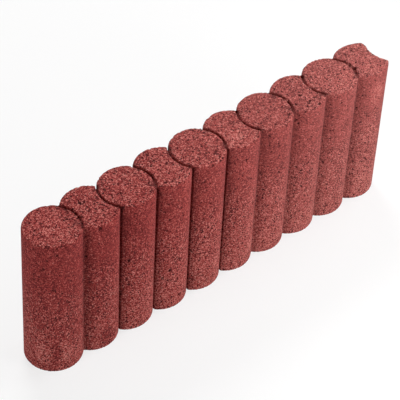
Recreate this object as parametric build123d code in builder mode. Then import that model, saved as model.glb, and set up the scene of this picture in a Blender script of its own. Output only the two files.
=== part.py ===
from build123d import *
import os
from math import asin, degrees, sqrt

# Garden edging stone: a straight row of upright round columns, cast in one piece of concrete.
# False joints part the columns. Those across the top curve round every second column, so that
# full round columns alternate with waisted ones. The row begins with a round column and ends
# in an open hollow, so each stone's round end stands in the hollow of the next.
# Sizes are in millimetres. The row runs along X, stands on Z = 0 and is centred on the origin.

# Driving dimensions
column_count = 10
column_diameter = 80.0
column_pitch = 59.5  # from one column's axis to the next
column_height = 230.0
top_arris = 3.0  # rounding of the outer top edge

# False joints
joint_width = 2.0
joint_inset = 2.0  # from a round column's outline in to the middle of its top joint
top_joint_depth = 5.0
joint_bevel = 1.0  # on both lips of a top joint
side_joint_depth = 4.0  # in from the root of the valley between two columns

# Hollow end
end_pitch = 64.5  # from the last column's axis to that of the next stone's round end
end_clearance = 1.0  # round that end
horn_radius = 3.5  # upright edges of the hollow
horn_rim = 0.25  # least radius that the top arris leaves of a horn

# Sizes that follow from them
column_radius = column_diameter / 2
hollow_radius = column_radius + end_clearance
joint_radius = column_radius - joint_inset
inner_wall = joint_radius - joint_width / 2
outer_wall = joint_radius + joint_width / 2
root_offset = sqrt(column_radius**2 - (column_pitch / 2) ** 2)  # centre line to a valley's root
joint_reach = degrees(asin((root_offset - side_joint_depth / 2) / joint_radius))

# A horn's rounding touches its column from inside and the hollow from outside
horn_offset = (
    end_pitch**2 + (column_radius - horn_radius) ** 2 - (hollow_radius + horn_radius) ** 2
) / (2 * end_pitch)
horn_arris = min(top_arris, horn_radius - horn_rim)  # a horn's wall limits its top arris
last_offset = (column_count - 1) * column_pitch
overall_length = column_radius + last_offset + horn_offset + horn_radius

# Places along the row
first_axis = column_radius - overall_length / 2
column_axes = [first_axis + column_pitch * index for index in range(column_count)]
valleys = [axis + column_pitch / 2 for axis in column_axes[:-1]]

with BuildPart() as column:
    Cylinder(column_radius, column_height, align=(Align.CENTER, Align.CENTER, Align.MIN))
    fillet(column.edges().group_by(Axis.Z)[-1], top_arris)

with BuildPart() as end_column:
    with BuildSketch():
        Circle(column_radius)
        with Locations((end_pitch, 0)):
            Circle(hollow_radius, mode=Mode.SUBTRACT)
        fillet(vertices().sort_by(Axis.X)[-2:], horn_radius)
    extrude(amount=column_height)
    fillet(end_column.edges().group_by(Axis.Z)[-1], horn_arris)

with BuildPart() as edging_stone:
    with Locations(*[(axis, 0) for axis in column_axes[:-1]]):
        add(column.part)
    with Locations((column_axes[-1], 0)):
        add(end_column.part)

    # Upright false joints in the roots of the valleys
    with BuildSketch():
        with Locations(*[(x, y) for x in valleys for y in (-root_offset, root_offset)]):
            Rectangle(joint_width, 2 * side_joint_depth)
    extrude(amount=column_height, mode=Mode.SUBTRACT)

    # False joints across the top, from one upright joint to the opposite one
    for index in range(column_count - 1):
        follows_column_before = index % 2 == 0
        axis_x = column_axes[index] if follows_column_before else column_axes[index + 1]
        middle_angle = 0 if follows_column_before else 180
        outward = Vector(1, 0, 0).rotate(Axis.Z, middle_angle - joint_reach)
        profile_plane = Plane(
            (axis_x, 0, column_height), x_dir=outward, z_dir=outward.cross(Vector(0, 0, 1))
        )
        with BuildSketch(profile_plane):
            with BuildLine():
                Polyline(
                    (inner_wall - joint_bevel, 0),
                    (inner_wall, -joint_bevel),
                    (inner_wall, -top_joint_depth),
                    (outer_wall, -top_joint_depth),
                    (outer_wall, -joint_bevel),
                    (outer_wall + joint_bevel, 0),
                    close=True,
                )
            make_face()
        revolve(
            axis=Axis((axis_x, 0, 0), (0, 0, 1)),
            revolution_arc=2 * joint_reach,
            mode=Mode.SUBTRACT,
        )

edging_stone.part.label = "edging_stone"

os.makedirs("parts", exist_ok=True)
export_step(edging_stone.part, "parts/edging_stone.step")
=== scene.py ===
import math
import random

import bmesh
import bpy
from mathutils import Matrix, Quaternion, Vector, noise
from mathutils.kdtree import KDTree


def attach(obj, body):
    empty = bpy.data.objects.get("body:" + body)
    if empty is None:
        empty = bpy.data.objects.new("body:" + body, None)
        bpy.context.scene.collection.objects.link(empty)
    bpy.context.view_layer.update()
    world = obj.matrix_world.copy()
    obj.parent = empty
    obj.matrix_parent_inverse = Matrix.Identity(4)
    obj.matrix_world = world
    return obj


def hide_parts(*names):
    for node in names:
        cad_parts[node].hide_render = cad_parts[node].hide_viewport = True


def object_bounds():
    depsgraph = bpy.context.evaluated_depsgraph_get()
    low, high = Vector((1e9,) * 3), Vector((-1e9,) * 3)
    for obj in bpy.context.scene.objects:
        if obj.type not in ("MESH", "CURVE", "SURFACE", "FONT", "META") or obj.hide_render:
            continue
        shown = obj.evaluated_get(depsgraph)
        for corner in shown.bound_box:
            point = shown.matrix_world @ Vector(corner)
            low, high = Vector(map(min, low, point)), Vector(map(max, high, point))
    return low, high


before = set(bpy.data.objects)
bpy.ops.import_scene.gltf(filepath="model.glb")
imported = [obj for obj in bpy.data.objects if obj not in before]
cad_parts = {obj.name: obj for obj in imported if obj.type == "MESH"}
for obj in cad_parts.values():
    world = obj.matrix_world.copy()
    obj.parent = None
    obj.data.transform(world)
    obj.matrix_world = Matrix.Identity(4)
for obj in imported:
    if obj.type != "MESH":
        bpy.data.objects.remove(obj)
cadLow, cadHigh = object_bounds()
millimetre = 0.001
white = (1.0, 1.0, 1.0)

# The edging stone: one cast piece, with worn edges, dents and pits in its real surface.
# Lengths are in mm. A pair gives the least and the most of something, or where it fades in or out.
stone = {
    "node": "edging_stone",
    "slot": "red_concrete",
    "seed": 11,
    "grid": 0.9,              # mesh that the relief is cut into
    "smoothing": 3,
    "triangles": 188000,      # left once the flat places are thinned
    # the columns, as the frame has them
    "columns": 10,
    "pitch": 59.5,
    "radius": 40.0,
    "height": 230.0,
    "jointRadius": 38.0,      # of the curved joints, round the axis of a full round column
    "endPitch": 64.5,
    "hollowRadius": 41.0,
    # their form
    "draft": 1.1,             # how much slimmer a column is at its top, all round
    "footFlat": 0.25,         # what lies lower than this is level with the floor
    "waveDepth": 0.25,        # gentle unevenness
    "waveSize": 45.0,
    # worn edges
    "wearReach": 5.5,         # how far from an edge it is worn
    "wearStart": 0.5,
    "wearDepth": 0.45,
    "wearSize": 4.2,
    "wearSpread": 0.35,       # more of this wears more of an edge's length
    "jointNear": 8.0,         # how far from a curved joint its lips count as edges
    "jointSpared": 1.5,       # the joints' lips are worn less than the rims
    # crumbs that narrow a joint, each side, and how near its ring, a valley and the top they lie
    "jointFill": 0.35,
    "crumbReach": (1.6, 14.0, 25.0),
    "crumbFacing": 0.6,       # what looks up more than this has none
    # scattered pits and chips: least and greatest radius, and how much commoner the small ones are;
    # depths are in radii
    "pits": 3000,
    "pitRadius": (0.9, 2.0, 2.2),
    "pitDepth": (0.5, 0.85),
    "pitCrowds": 38.0,        # size of the places where pits crowd
    "footSpared": 1.5,        # no pits below this height
    "chips": 120,
    "chipRadius": (1.5, 3.0, 2),
    "chipDepth": (0.22, 0.38),
    "chipReach": 2.5,         # from an edge
    "pittedTops": (2, 4, 8),  # columns whose tops are more open, counted from the round end
    "topPits": 26,
    "topPitRadius": (1.1, 2.1, 2),
    "topPitReach": 34.0,
    "bowlRoughness": 0.35,
    "bowlShift": 3.7,         # gives each pit and chip an outline of its own
    # single holes: place and radius
    "holeDepth": 0.8,
    "holes": [
        ((-215.6, -38.2, 224.4), 3.1), ((-165.0, -34.1, 133.2), 2.6), ((-96.3, -38.2, 73.8), 3.1),
        ((-105.7, -34.0, 61.4), 2.4), ((-209.8, 12.0, 230.0), 2.9), ((-228.5, -8.3, 230.0), 2.6),
        ((-159.1, -5.8, 230.0), 2.4), ((-170.3, 12.4, 230.0), 2.4), ((-100.0, -25.9, 230.0), 2.5),
        ((-80.9, -39.8, 18.2), 2.4), ((-282.2, -35.2, 215.2), 2.2), ((-240.4, -1.3, 230.0), 2.2),
        ((-151.7, 20.2, 230.0), 2.1), ((-212.4, -39.0, 149.9), 2.0), ((-231.9, -28.3, 177.9), 2.1),
        ((-52.0, -29.6, 22.0), 2.4), ((152.5, -4.7, 230.0), 2.9), ((156.0, -21.1, 230.0), 2.6),
        ((161.7, -34.0, 230.0), 2.6), ((250.9, -9.0, 230.0), 3.2), ((114.8, -24.9, 230.0), 2.5),
        ((137.8, -36.9, 121.2), 2.2),
    ],
    # the hollow end's back horn is blunt and the last column's back a little pressed in:
    # place, way in, radius and depth
    "blunted": [
        ((303.0, 24.0, 230.0), (-0.90, -0.30, -0.30), 8.0, 2.6),
        ((284.0, 38.0, 232.0), (0.0, -1.0, 0.0), 44.0, 3.8),
    ],
    "bluntedRoughness": 0.04,
    "bluntedSoftness": 2,
    # marks that the paint reads: worn edges, what looks up, and painted shade in the curved joints, the
    # valleys and the pits
    "edgeMark": (1.0, 8.0),
    "topMark": (0.5, 0.85),   # how far a face looks up
    # painted shade in the grooves of the curved joints on top
    "ringShade": (0.6, 1.7),
    "ringShadeDepth": (0.4, 1.6),
    # painted shade down the valleys: a narrow dark seam at the root and a soft wide shade on the flank beside
    # it
    "valleyShades": [(0.9, (0.4, 2.0)), (0.25, (1.0, 15.0))],  # strength, then where it fades
    # painted shade in the pits
    "pitShadeReach": (0.55, 1.15),  # in the pit's radii
    "edgeBand": 12.0,         # parts of the stone that the marks are looked for in
    "topBand": 6.0,
    "valleyBand": 14.0,
}
bowlReach = 1.3               # a rough bowl's outline stays within so many radii


def step(limits, value):
    # 0 before the first limit, 1 after the second, smooth between them
    low, high = limits
    share = min(max((value - low) / (high - low), 0.0), 1.0)
    return share * share * (3 - 2 * share)


def treeOf(points):
    tree = KDTree(len(points))
    for number, point in enumerate(points):
        tree.insert(point, number)
    tree.balance()
    return tree


def drawRadius(draw, limits):
    low, high, skew = limits
    return low + (high - low) * draw.random() ** skew


def addToScene(name, data):
    thing = bpy.data.objects.new(name, data)
    bpy.context.scene.collection.objects.link(thing)
    return thing


def applied(mesh, modifiers):
    # the mesh that the modifiers make of it; each is a kind and its settings
    helper = addToScene("helper", mesh)
    for kind, settings in modifiers:
        modifier = helper.modifiers.new(kind, kind)
        for name, value in settings.items():
            setattr(modifier, name, value)
    made = bpy.data.meshes.new_from_object(helper.evaluated_get(bpy.context.evaluated_depsgraph_get()))
    bpy.data.objects.remove(helper)
    return made


def triangleCount(mesh):
    return sum(len(face.vertices) - 2 for face in mesh.polygons)


def columnAxes(plan):
    first = cadLow.x / millimetre + plan["radius"]
    return [first + plan["pitch"] * number for number in range(plan["columns"])]


def edgeDistance(place, plan, axes):
    # mm from the nearest worn edge: the top arris, the hollow's edge, or a lip of a joint on top
    x, y, z = place
    below = plan["height"] - z
    number = min(max(round((x - axes[0]) / plan["pitch"]), 0), plan["columns"] - 1)
    inside = plan["radius"] - math.hypot(x - axes[number], y)
    toHollow = math.hypot(x - axes[-1] - plan["endPitch"], y) - plan["hollowRadius"]
    nearest = math.hypot(below, min(max(inside, 0.0), max(toHollow, 0.0)))
    for other in (number - 1, number + 1):
        if 0 <= other < plan["columns"]:
            centre = axes[number] if number % 2 == 0 else axes[other]
            fromRing = math.hypot(x - centre, y) - plan["jointRadius"]
            if abs(fromRing) < plan["jointNear"]:
                nearest = min(nearest, math.hypot(below, fromRing) + plan["jointSpared"])
    return nearest


def rowPlace(place, plan, axes):
    # pitches past the first axis, then mm from the nearest curved joint and from the nearest valley
    passed = (place.x - axes[0]) / plan["pitch"]
    even = min(max(2 * round(passed / 2), 0), plan["columns"] - 2)
    fromRing = abs(math.hypot(place.x - axes[even], place.y) - plan["jointRadius"])
    beside = abs(passed - math.floor(passed) - 0.5) * plan["pitch"]
    return passed, fromRing, beside


def hasCrumbs(place, plan, axes):
    ringReach, valleyReach, topReach = plan["crumbReach"]
    passed, fromRing, beside = rowPlace(place, plan, axes)
    inRow = 0 < passed < plan["columns"] - 1 and beside < valleyReach
    return inRow and fromRing < ringReach and place.z > plan["height"] - topReach


def makeGrid(plan):
    # the frame's stone in mm, on a fine even grid
    copied = bmesh.new()
    copied.from_mesh(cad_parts[plan["node"]].data)
    bmesh.ops.remove_doubles(copied, verts=copied.verts, dist=1e-6)
    bmesh.ops.scale(copied, vec=(1 / millimetre,) * 3, verts=copied.verts)
    bmesh.ops.recalc_face_normals(copied, faces=copied.faces)
    mesh = bpy.data.meshes.new("stoneBlank")
    copied.to_mesh(mesh)
    copied.free()
    return applied(mesh, [("REMESH", {"mode": "VOXEL", "voxel_size": plan["grid"]}),
                          ("SMOOTH", {"iterations": plan["smoothing"]})])


def wearSurface(places, outwards, plan, axes):
    # draft and gentle unevenness all over, crumbled edges, and crumbs in the curved joints
    edgePoints = []
    for index, place in enumerate(places):
        outward = outwards[index]
        depth = plan["waveDepth"] * (0.5 + 0.5 * noise.noise(place / plan["waveSize"]))
        if place.z > plan["height"] - plan["wearReach"]:
            nearest = edgeDistance(place, plan, axes)
            if nearest < plan["wearReach"]:
                worn = 1 - step((plan["wearStart"], plan["wearReach"]), nearest)
                coarse = noise.noise(place / plan["wearSize"])
                fine = noise.noise(place * 2.3 / plan["wearSize"])
                depth += plan["wearDepth"] * worn * max(coarse + 0.6 * fine + plan["wearSpread"], 0.0)
                if nearest < plan["chipReach"]:
                    edgePoints.append(index)
        if outward.z < plan["crumbFacing"] and hasCrumbs(place, plan, axes):
            depth -= plan["jointFill"]
        sideways = Vector((outward.x, outward.y, 0.0))
        place -= outward * depth + sideways * plan["draft"] * place.z / plan["height"]
    return edgePoints


def findPits(places, outwards, tree, plan, axes, draw):
    # place, way in, radius and depth of each: the single holes, the open tops, then the scatter
    pits = []

    def addHole(centre, radius):
        place, index, distance = tree.find(centre)
        pits.append((place.copy(), -outwards[index], radius, radius * plan["holeDepth"]))

    for centre, radius in plan["holes"]:
        addHole(centre, radius)
    for column in plan["pittedTops"]:
        for count in range(plan["topPits"]):
            reach, turn = plan["topPitReach"] * math.sqrt(draw.random()), 2 * math.pi * draw.random()
            centre = (axes[column - 1] + reach * math.cos(turn), reach * math.sin(turn), plan["height"])
            addHole(centre, drawRadius(draw, plan["topPitRadius"]))
    wanted = plan["pits"] + len(pits)
    while len(pits) < wanted:
        index = draw.randrange(len(places))
        place = places[index]
        if place.z < plan["footSpared"]:
            continue
        if draw.random() > 0.5 + 0.5 * noise.noise(place / plan["pitCrowds"]):
            continue
        radius = drawRadius(draw, plan["pitRadius"])
        pits.append((place.copy(), -outwards[index], radius, radius * draw.uniform(*plan["pitDepth"])))
    return pits


def findChips(places, outwards, edgePoints, plan, draw):
    chips = []
    for count in range(plan["chips"]):
        index = edgePoints[draw.randrange(len(edgePoints))]
        radius = drawRadius(draw, plan["chipRadius"])
        depth = radius * draw.uniform(*plan["chipDepth"])
        chips.append((places[index].copy(), -outwards[index], radius, depth))
    return chips


def pushIn(places, tree, bowl, shift, roughness, softness=1):
    # a rough bowl in the surface
    centre, inward, radius, depth = bowl
    for place, index, distance in tree.find_range(centre, radius * bowlReach):
        rough = noise.noise((place + Vector((shift, 0, 0))) * 0.9) * roughness
        share = distance / (radius * (1 + rough))
        if share < 1:
            places[index] += inward * depth * (1 - share * share) ** softness


def levelled(mesh, plan):
    # back to metres, level on its foot and inside the frame's box
    flat = []
    for vertex in mesh.vertices:
        place = vertex.co * millimetre
        if place.z < plan["footFlat"] * millimetre:
            place.z = 0.0
        flat += [min(max(place[axis], cadLow[axis]), cadHigh[axis]) for axis in range(3)]
    mesh.vertices.foreach_set("co", flat)
    mesh.update()
    mesh.shade_smooth()


def markMesh(mesh, plan, axes, pits):
    # for the paint: how worn an edge is, what looks up, and how much painted shade a joint, a valley or a pit
    # gets
    pitTree = treeOf([pit[0] for pit in pits])
    root = math.sqrt(plan["radius"] ** 2 - (plan["pitch"] / 2) ** 2)
    marks = {"wornEdge": [], "onTop": [], "inJoint": [], "inPit": []}
    upward = [vertex.normal.z for vertex in mesh.vertices]
    for vertex in mesh.vertices:
        place = vertex.co / millimetre
        below = plan["height"] - place.z
        passed, fromRing, beside = rowPlace(place, plan, axes)
        worn, top, joint, pitShaded = 0.0, 0.0, 0.0, 0.0
        if below < plan["topBand"]:
            top = step(plan["topMark"], upward[vertex.index])
        if below < plan["edgeBand"]:
            worn = 1 - step(plan["edgeMark"], edgeDistance(place, plan, axes))
            # painted shade in the groove of a curved joint
            if 0 <= passed <= plan["columns"] - 1 and abs(place.y) < root:
                joint = (1 - step(plan["ringShade"], fromRing)) * step(plan["ringShadeDepth"], below)
        # painted shade down the valley between two columns
        if 0 < passed < plan["columns"] - 1 and abs(place.y) > root - plan["valleyBand"]:
            valley = math.hypot(beside, max(abs(place.y) - root, 0.0))
            for strength, limits in plan["valleyShades"]:
                joint = max(joint, strength * (1 - step(limits, valley)))
        # painted shade in the pits, darkest at their middle
        centre, number, distance = pitTree.find(place)
        inward, radius = pits[number][1:3]
        if distance < bowlReach * radius:
            aside = (place - centre) - inward * (place - centre).dot(inward)
            pitShaded = 1 - step(plan["pitShadeReach"], aside.length / radius)
        for name, value in zip(marks, (worn, top, joint, pitShaded)):
            marks[name].append(value)
    for name, values in marks.items():
        mesh.attributes.new(name, "FLOAT", "POINT").data.foreach_set("value", values)


def makeStone(plan):
    draw = random.Random(plan["seed"])
    axes = columnAxes(plan)
    mesh = makeGrid(plan)
    print("stone: grid of", len(mesh.vertices), "points")

    places = [vertex.co.copy() for vertex in mesh.vertices]
    outwards = [vertex.normal.copy() for vertex in mesh.vertices]
    edgePoints = wearSurface(places, outwards, plan, axes)
    print("stone: edges worn")

    tree = treeOf(places)
    for centre, inward, radius, depth in plan["blunted"]:
        bowl = (Vector(centre), Vector(inward), radius, depth)
        pushIn(places, tree, bowl, 0, plan["bluntedRoughness"], plan["bluntedSoftness"])
    pits = findPits(places, outwards, tree, plan, axes, draw)
    chips = findChips(places, outwards, edgePoints, plan, draw)
    for number, bowl in enumerate(pits + chips):
        pushIn(places, tree, bowl, number * plan["bowlShift"], plan["bowlRoughness"])
    mesh.vertices.foreach_set("co", [value for place in places for value in place])
    mesh.update()
    print("stone:", len(pits), "pits and", len(chips), "chips cut")

    mesh = applied(mesh, [("DECIMATE", {"ratio": plan["triangles"] / triangleCount(mesh)})])
    levelled(mesh, plan)
    markMesh(mesh, plan, axes, pits)
    piece = addToScene("concrete_stone", mesh)
    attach(piece, "root")
    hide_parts(plan["node"])
    print("stone:", triangleCount(mesh), "triangles")
    return piece


stonePiece = makeStone(stone)


# Paint: a material's sums are written as plain Python on its sockets

class Wire:
    def __init__(self, paint, socket):
        self.paint = paint
        self.socket = socket

    def maths(self, operation, first, second):
        return self.paint.add("Math", {"operation": operation}, {0: first, 1: second})

    def __add__(self, other):
        return self.maths("ADD", self, other)

    def __radd__(self, other):
        return self.maths("ADD", other, self)

    def __sub__(self, other):
        return self.maths("SUBTRACT", self, other)

    def __rsub__(self, other):
        return self.maths("SUBTRACT", other, self)

    def __mul__(self, other):
        return self.maths("MULTIPLY", self, other)

    def __rmul__(self, other):
        return self.maths("MULTIPLY", other, self)

    def larger(self, other):
        return self.maths("MAXIMUM", self, other)


class Paint:
    def __init__(self, tree):
        self.tree = tree

    def plug(self, value, socket):
        if isinstance(value, Wire):
            self.tree.links.new(value.socket, socket)
        elif socket.type == "RGBA":
            socket.default_value = (*value, 1.0)
        else:
            socket.default_value = value

    def add(self, kind, settings=None, inputs=None, output=0):
        node = self.tree.nodes.new("ShaderNode" + kind)
        for name, value in (settings or {}).items():
            if name == "stops":
                ramp = node.color_ramp
                while len(ramp.elements) < len(value):
                    ramp.elements.new(1.0)
                for element, (place, colour) in zip(ramp.elements, value):
                    element.position = place
                    element.color = (*colour, 1.0)
            else:
                setattr(node, name, value)
        for name, value in (inputs or {}).items():
            self.plug(value, node.inputs[name])
        return Wire(self, node.outputs[output])

    def blend(self, share, first, second):
        # inputs 0, 6 and 7 of a colour Mix are its factor and its two colours, output 2 the result
        return self.add("Mix", {"data_type": "RGBA"}, {0: share, 6: first, 7: second}, output=2)

    def noise(self, where, kind):
        size, detail, roughness = kind
        return self.add("TexNoise", {"noise_dimensions": "3D"}, {
            "Vector": where, "Scale": 1.0 / size, "Detail": detail, "Roughness": roughness})

    def cells(self, where, size, channel):
        # how far it is to the middle of the nearest cell, and a number drawn for that cell
        settings = {"voronoi_dimensions": "3D", "feature": "F1"}
        inputs = {"Vector": where, "Scale": 1.0 / size, "Randomness": 1.0}
        colour = self.add("TexVoronoi", settings, inputs, output="Color")
        drawn = self.add("SeparateColor", None, {0: colour}, output=channel)
        return self.add("TexVoronoi", settings, inputs, output="Distance"), drawn

    def ramp(self, value, limits):
        return self.add("MapRange", {"interpolation_type": "SMOOTHSTEP"}, {
            "Value": value, "From Min": limits[0], "From Max": limits[1]})

    def cameraRays(self):
        # what the camera sees, also in a reflection or through glass
        seen, reflected, through = [self.add("LightPath", output=name) for name in (
            "Is Camera Ray", "Is Glossy Ray", "Is Transmission Ray")]
        return seen.larger(reflected).larger(through)


def newMaterial(name):
    material = bpy.data.materials.new(name)
    material.use_nodes = True
    return material, Paint(material.node_tree)


# Red dry-cast concrete: coloured fines round sand grains, with open pores.
# Sizes are in mm. A pair says where something fades in.
concrete = {
    # pore is also the colour of the painted shade in the pits, the joints and the valleys
    "pore": (0.026, 0.003, 0.004),
    "dark": (0.105, 0.009, 0.010),
    "fines": (0.316, 0.040, 0.036),
    "sand": (0.480, 0.083, 0.073),
    "grain": (0.700, 0.260, 0.220),
    # painted sheen: towards the hollow end the colour turns paler and greyer, as light from that side makes
    # it
    "sheen": (0.600, 0.270, 0.240),
    "speckle": [(0.24, "dark"), (0.47, "fines"), (0.56, "fines"), (0.74, "sand"), (1.0, "grain")],
    "sheenShare": 0.19,        # at the hollow end; none at the round end
    "sheenAlong": (-200.0, 380.0),
    "roughness": 0.9,
    "shine": 0.2,
    # noises: size, detail and roughness
    "clouds": (55.0, 3.0, 0.6),
    "mottle": (7.0, 3.0, 0.65),
    "coarseSand": (2.2, 2.0, 0.6),
    "fineSand": (1.1, 1.0, 0.5),
    "poreCrowds": (30.0, 2.0, 0.5),
    "poreWarp": (1.2, 1.0, 0.5),
    "fineSandShare": 0.38,
    # single grains, and where more of them show
    "grainSize": 2.7,
    "grainReach": (0.46, 0.26),
    "grainOdds": (0.78, 0.98),
    "grainMore": {"tone": 0.6, "onTop": 0.06, "wornTop": 0.20, "skin": -0.10},
    # pores
    "poreSize": 3.2,
    "poreReach": (0.37, 0.25),
    "poreOdds": (0.28, 0.55),
    "poreCrowding": 0.8,
    "poreUneven": 0.30,       # in their outlines
    "poresClosed": 0.5,       # by the skin
    # the upper sides came smoother and darker out of the mould than the feet and the tops
    "skinHeights": (105.0, 185.0),
    "skinUneven": 70.0,
    # how much paler (+) or darker (-) a place gets at most
    "tones": {"clouds": 0.30, "mottle": 0.30, "wornEdge": 0.05, "onTop": -0.02, "skin": -0.06},
    "toneShare": 0.8,
    # contrast of the speckle, and what the skin and the tops add to it
    "contrast": 3.4,
    "skinContrast": -1.0,
    "topContrast": 0.5,
    # how fully each covers what is under it; pit and joint are painted shade
    "cover": {"grain": 0.85, "pore": 0.95, "pit": 0.8, "joint": 0.6},
    # bump of what is finer than the mesh
    "relief": {"sand": 0.6, "grain": 0.3, "pore": -1.0},
    "bumpDepth": 0.0005,      # m
    "bumpStrength": 0.8,
    # paler or darker places: centre and half sizes, then how much paler (+) or darker (-)
    "patches": [
        # the feet paler all along: partly their own paler surface, partly painted light from low down
        ((0, 0, 0), (900, 900, 105), 0.14),
        # painted shade: the round end darker, as less light reaches it
        ((-300, 0, 130), (140, 300, 300), -0.06),
        ((-263, 0, 232), (40, 40, 12), 0.10),
        ((-204, 0, 232), (30, 38, 12), 0.08),
        ((34, 0, 232), (30, 38, 12), 0.05),
        ((122, 0, 232), (62, 42, 12), -0.12),
        ((290, -30, 0), (80, 80, 75), 0.10),
        ((29, -16, 230), (20, 14, 12), 0.30),
        ((272, -39, 196), (16, 14, 34), 0.26),
        ((266, -40, 135), (12, 12, 30), 0.12),
        ((-297, -21, 34), (14, 14, 26), 0.20),
        ((-270, -39, 28), (12, 12, 24), 0.20),
        ((-284, -34, 34), (7, 12, 34), -0.20),
        ((-203, -40, 22), (16, 14, 24), -0.22),
    ],
    "patchReach": (1.15, 0.2),
    "patchUneven": 0.9,
}


def paintConcrete(plan):
    material, paint = newMaterial("redConcrete")
    metres = paint.add("TexCoord", output="Object")
    where = paint.add("Mapping", {"vector_type": "POINT"}, {"Vector": metres, "Scale": (1 / millimetre,) * 3})
    # the last two are painted shade: in the joints and valleys, and in the pits
    wornEdge, onTop, inJoint, inPit = [paint.add("Attribute", {"attribute_name": name}, output="Fac")
                                       for name in ("wornEdge", "onTop", "inJoint", "inPit")]
    along, above = [paint.add("SeparateXYZ", None, {0: where}, output=axis) for axis in ("X", "Z")]

    # Broad tone: clouds of paler and darker mix, the mould's skin and the named patches, among them painted
    # light on the feet and painted shade at the round end
    clouds = paint.noise(where, plan["clouds"]) - 0.5
    mottle = paint.noise(where, plan["mottle"]) - 0.5
    skin = paint.ramp(above + plan["skinUneven"] * clouds, plan["skinHeights"]) * (1.0 - onTop)
    parts = {"clouds": clouds, "mottle": mottle, "wornEdge": wornEdge, "onTop": onTop, "skin": skin}
    tone = sum(amount * parts[name] for name, amount in plan["tones"].items())
    for centre, size, amount in plan["patches"]:
        offset = paint.add("VectorMath", {"operation": "SUBTRACT"}, {0: where, 1: centre})
        spread = paint.add("VectorMath", {"operation": "DIVIDE"}, {0: offset, 1: size})
        distance = paint.add("VectorMath", {"operation": "LENGTH"}, {0: spread}, output="Value")
        tone = tone + amount * paint.ramp(distance + plan["patchUneven"] * mottle, plan["patchReach"])

    # Sand: a coarse speckle from dark fines to pale sand, with single paler grains
    coarseSand, fineSand = paint.noise(where, plan["coarseSand"]), paint.noise(where, plan["fineSand"])
    sand = (1 - plan["fineSandShare"]) * coarseSand + plan["fineSandShare"] * fineSand
    more = plan["grainMore"]
    grainDistance, grainDrawn = paint.cells(where, plan["grainSize"], "Red")
    grainDrawn = grainDrawn + more["tone"] * tone + more["skin"] * skin
    grainDrawn = grainDrawn + (more["onTop"] + more["wornTop"] * wornEdge) * onTop
    grain = paint.ramp(grainDistance, plan["grainReach"]) * paint.ramp(grainDrawn, plan["grainOdds"])

    # Pores: small dark holes, crowded in some places and fewer in the skin
    poreDistance, poreDrawn = paint.cells(where, plan["poreSize"], "Green")
    poreDistance = poreDistance + plan["poreUneven"] * (paint.noise(where, plan["poreWarp"]) - 0.5)
    poreDrawn = poreDrawn + plan["poreCrowding"] * (paint.noise(where, plan["poreCrowds"]) - 0.5)
    pore = paint.ramp(poreDistance, plan["poreReach"]) * paint.ramp(poreDrawn, plan["poreOdds"])
    pore = pore * (1.0 - plan["poresClosed"] * skin)

    contrast = plan["contrast"] + plan["skinContrast"] * skin + plan["topContrast"] * onTop
    stops = [(place, plan[name]) for place, name in plan["speckle"]]
    speckle = (sand - 0.5) * contrast + 0.5 + plan["toneShare"] * tone
    colour = paint.add("ValToRGB", {"stops": stops}, {"Fac": speckle})
    cover = plan["cover"]
    colour = paint.blend(grain * cover["grain"], colour, plan["grain"])
    # painted sheen, growing towards the hollow end
    colour = paint.blend(paint.ramp(along, plan["sheenAlong"]) * plan["sheenShare"], colour, plan["sheen"])
    # the pore colour darkens the pores, and is the painted shade in the pits, the joints and the valleys
    for dark, share in ((pore, cover["pore"]), (inPit, cover["pit"]), (inJoint, cover["joint"])):
        colour = paint.blend(dark * share, colour, plan["pore"])

    relief = plan["relief"]
    height = sand * relief["sand"] + grain * relief["grain"] + pore * relief["pore"]
    bump = paint.add("Bump", None, {
        "Height": height, "Distance": plan["bumpDepth"], "Strength": plan["bumpStrength"]})
    shader = material.node_tree.nodes["Principled BSDF"]
    paint.plug(colour, shader.inputs["Base Color"])
    paint.plug(plan["roughness"], shader.inputs["Roughness"])
    paint.plug(plan["shine"], shader.inputs["Specular IOR Level"])
    paint.plug(bump, shader.inputs["Normal"])
    return material


stonePiece.data.materials.clear()
stonePiece.data.materials.append(paintConcrete(concrete))
print("concrete painted")


# Studio: white floor that keeps the shadow, soft lamps, the photograph's camera. Lengths are in m.
studio = {
    "floorSize": 8.0,
    "floorColour": 0.70,      # what the floor sends back to the object
    "floorGlow": 0.72,        # share of plain white that the camera sees in the floor
    "ambient": 0.02,
    "lamps": [                # name, place, size, power in W
        ("lampTop", (1.2, 0.0, 1.6), 0.9, 7.8),
        ("lampBack", (0.5, 1.2, 1.7), 0.9, 23.0),
        ("lampLeft", (-1.6, -0.2, 0.8), 0.9, 10.0),
        ("lampFront", (0.25, -0.8, 0.4), 0.5, 4.4),
        ("lampRight", (0.7, -0.35, 0.8), 0.4, 2.6),
    ],
    "aim": (0.0, 0.0, 0.1),
}
lens = {
    "azimuth": -42.87,        # degrees
    "elevation": 43.94,
    "roll": 3.54,
    "distance": 2.5064,
    "target": (-0.0148, 0.0, 0.1280),
    "focal": 167.36,          # mm, as the sensor
    "sensor": 36.0,
    "farthest": 50.0,
}


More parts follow.
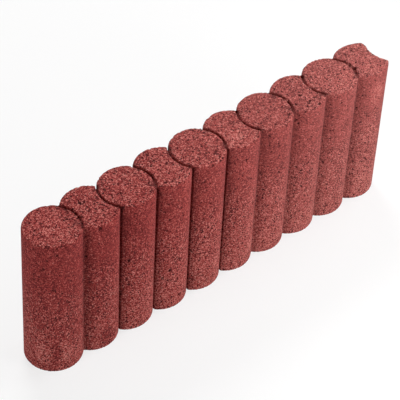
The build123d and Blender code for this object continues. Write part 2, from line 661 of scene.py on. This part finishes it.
def makeFloor(plan):
    made = bmesh.new()
    bmesh.ops.create_grid(made, x_segments=1, y_segments=1, size=plan["floorSize"] / 2)
    mesh = bpy.data.meshes.new("floor")
    made.to_mesh(mesh)
    made.free()
    floor = addToScene("floor", mesh)
    material, paint = newMaterial("whiteFloor")
    nodes = material.node_tree.nodes
    nodes.remove(nodes["Principled BSDF"])
    plain = paint.add("BsdfDiffuse", None, {"Color": (plan["floorColour"],) * 3})
    pale = paint.add("BsdfDiffuse", None, {"Color": white})
    glow = paint.add("Emission", None, {"Color": white, "Strength": 1.0})
    shown = paint.add("MixShader", None, {0: plan["floorGlow"], 1: pale, 2: glow})
    mixed = paint.add("MixShader", None, {0: paint.cameraRays(), 1: plain, 2: shown})
    paint.plug(mixed, nodes["Material Output"].inputs["Surface"])
    mesh.materials.append(material)


def makeWorld(plan):
    world = bpy.data.worlds.new("studio")
    world.use_nodes = True
    bpy.context.scene.world = world
    nodes = world.node_tree.nodes
    nodes.remove(nodes["Background"])
    paint = Paint(world.node_tree)
    ambient = paint.add("Background", None, {"Color": (plan["ambient"],) * 3})
    backdrop = paint.add("Background", None, {"Color": white})
    mixed = paint.add("MixShader", None, {0: paint.cameraRays(), 1: ambient, 2: backdrop})
    paint.plug(mixed, nodes["World Output"].inputs["Surface"])


def makeLamps(plan):
    for name, place, size, power in plan["lamps"]:
        light = bpy.data.lights.new(name, "AREA")
        light.shape = "DISK"
        light.size = size
        light.energy = power
        lamp = addToScene(name, light)
        lamp.location = place
        lamp.rotation_euler = (Vector(plan["aim"]) - Vector(place)).to_track_quat("-Z", "Y").to_euler()


def makeCamera(plan):
    azimuth, elevation = math.radians(plan["azimuth"]), math.radians(plan["elevation"])
    level = math.cos(elevation)
    back = Vector((math.sin(azimuth) * level, -math.cos(azimuth) * level, math.sin(elevation)))
    turn = (-back).to_track_quat("-Z", "Y") @ Quaternion((0, 0, 1), math.radians(plan["roll"]))
    place = Vector(plan["target"]) + back * plan["distance"]
    data = bpy.data.cameras.new("camera")
    data.sensor_width = plan["sensor"]
    data.lens = plan["focal"]
    data.clip_end = plan["farthest"]
    camera = addToScene("camera", data)
    camera.matrix_world = Matrix.Translation(place) @ turn.to_matrix().to_4x4()
    bpy.context.scene.camera = camera


makeFloor(studio)
makeWorld(studio)
makeLamps(studio)
makeCamera(lens)
bpy.context.scene.view_settings.view_transform = "Standard"
print("studio set")
